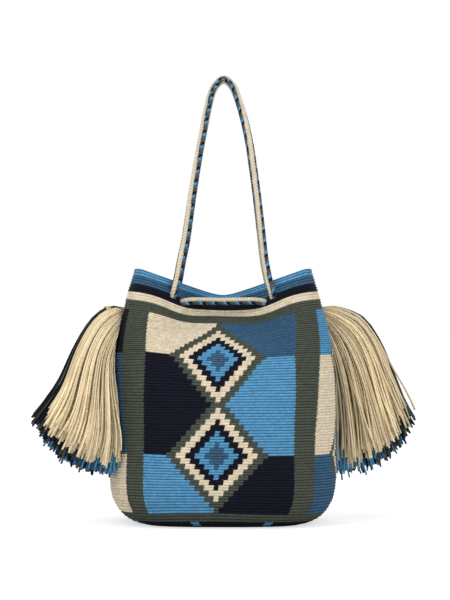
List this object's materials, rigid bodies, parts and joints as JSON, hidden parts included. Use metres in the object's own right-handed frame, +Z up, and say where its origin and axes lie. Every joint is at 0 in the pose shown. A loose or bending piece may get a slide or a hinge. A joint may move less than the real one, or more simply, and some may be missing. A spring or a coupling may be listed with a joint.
{
  "type": "wayuu mochila bag",
  "caption": "Crocheted bucket bag with a flat base, a folded-in striped mouth, twin cord handles and a big side tassel at each end",
  "frame": {"origin": "centre of the flat base's underside, which stands on the floor", "axes": "+X to the bag's right seen from the front, -Y the front that the picture shows, +Z up"},
  "size_m": [0.409, 0.2458, 0.4726],
  "materials": {
    "crochet": "tight mercerised cotton crochet, matt with a soft sheen",
    "cord": "thick crocheted cotton cord",
    "cream_yarn": "loose twisted cotton yarn, cream",
    "navy_yarn": "loose twisted cotton yarn, navy",
    "denim_yarn": "loose twisted cotton yarn, mid blue",
    "sky_yarn": "loose twisted cotton yarn, sky blue",
    "grey_yarn": "loose twisted cotton yarn, grey green"
  },
  "bodies": {
    "bag": {"bag_body": "crochet", "front_handle_cord": "cord", "back_handle_cord": "cord", "front_mouth_cord": "cord", "back_mouth_cord": "cord", "front_left_knot": "cord", "front_right_knot": "cord", "back_left_knot": "cord", "back_right_knot": "cord", "left_tie_cord": "cord", "right_tie_cord": "cord"},
    "left_loop": {"left_hanging_loop": "cord"},
    "left_tassel": {"left_neck_wrap": "cord", "left_cream_strands": "cream_yarn", "left_navy_strands": "navy_yarn", "left_denim_strands": "denim_yarn", "left_sky_strands": "sky_yarn", "left_grey_strands": "grey_yarn"},
    "right_loop": {"right_hanging_loop": "cord"},
    "right_tassel": {"right_neck_wrap": "cord", "right_cream_strands": "cream_yarn", "right_navy_strands": "navy_yarn", "right_denim_strands": "denim_yarn", "right_sky_strands": "sky_yarn", "right_grey_strands": "grey_yarn"}
  },
  "joints": [
    {"name": "left_tassel_lift", "type": "hinge", "parent": "bag", "child": "left_loop", "pos_m": [-0.11089, -0.05589, 0.22207], "axis": [-0.4067, 0.9135, 0], "range_deg": [0, 60]},
    {"name": "left_tassel_swing", "type": "hinge", "parent": "left_loop", "child": "left_tassel", "pos_m": [-0.11089, -0.05589, 0.22207], "axis": [-0.9135, -0.4067, 0], "range_deg": [-35, 35]},
    {"name": "right_tassel_lift", "type": "hinge", "parent": "bag", "child": "right_loop", "pos_m": [0.11089, 0.05589, 0.22207], "axis": [0.4067, -0.9135, 0], "range_deg": [0, 60]},
    {"name": "right_tassel_swing", "type": "hinge", "parent": "right_loop", "child": "right_tassel", "pos_m": [0.11089, 0.05589, 0.22207], "axis": [0.9135, 0.4067, 0], "range_deg": [-35, 35]}
  ]
}
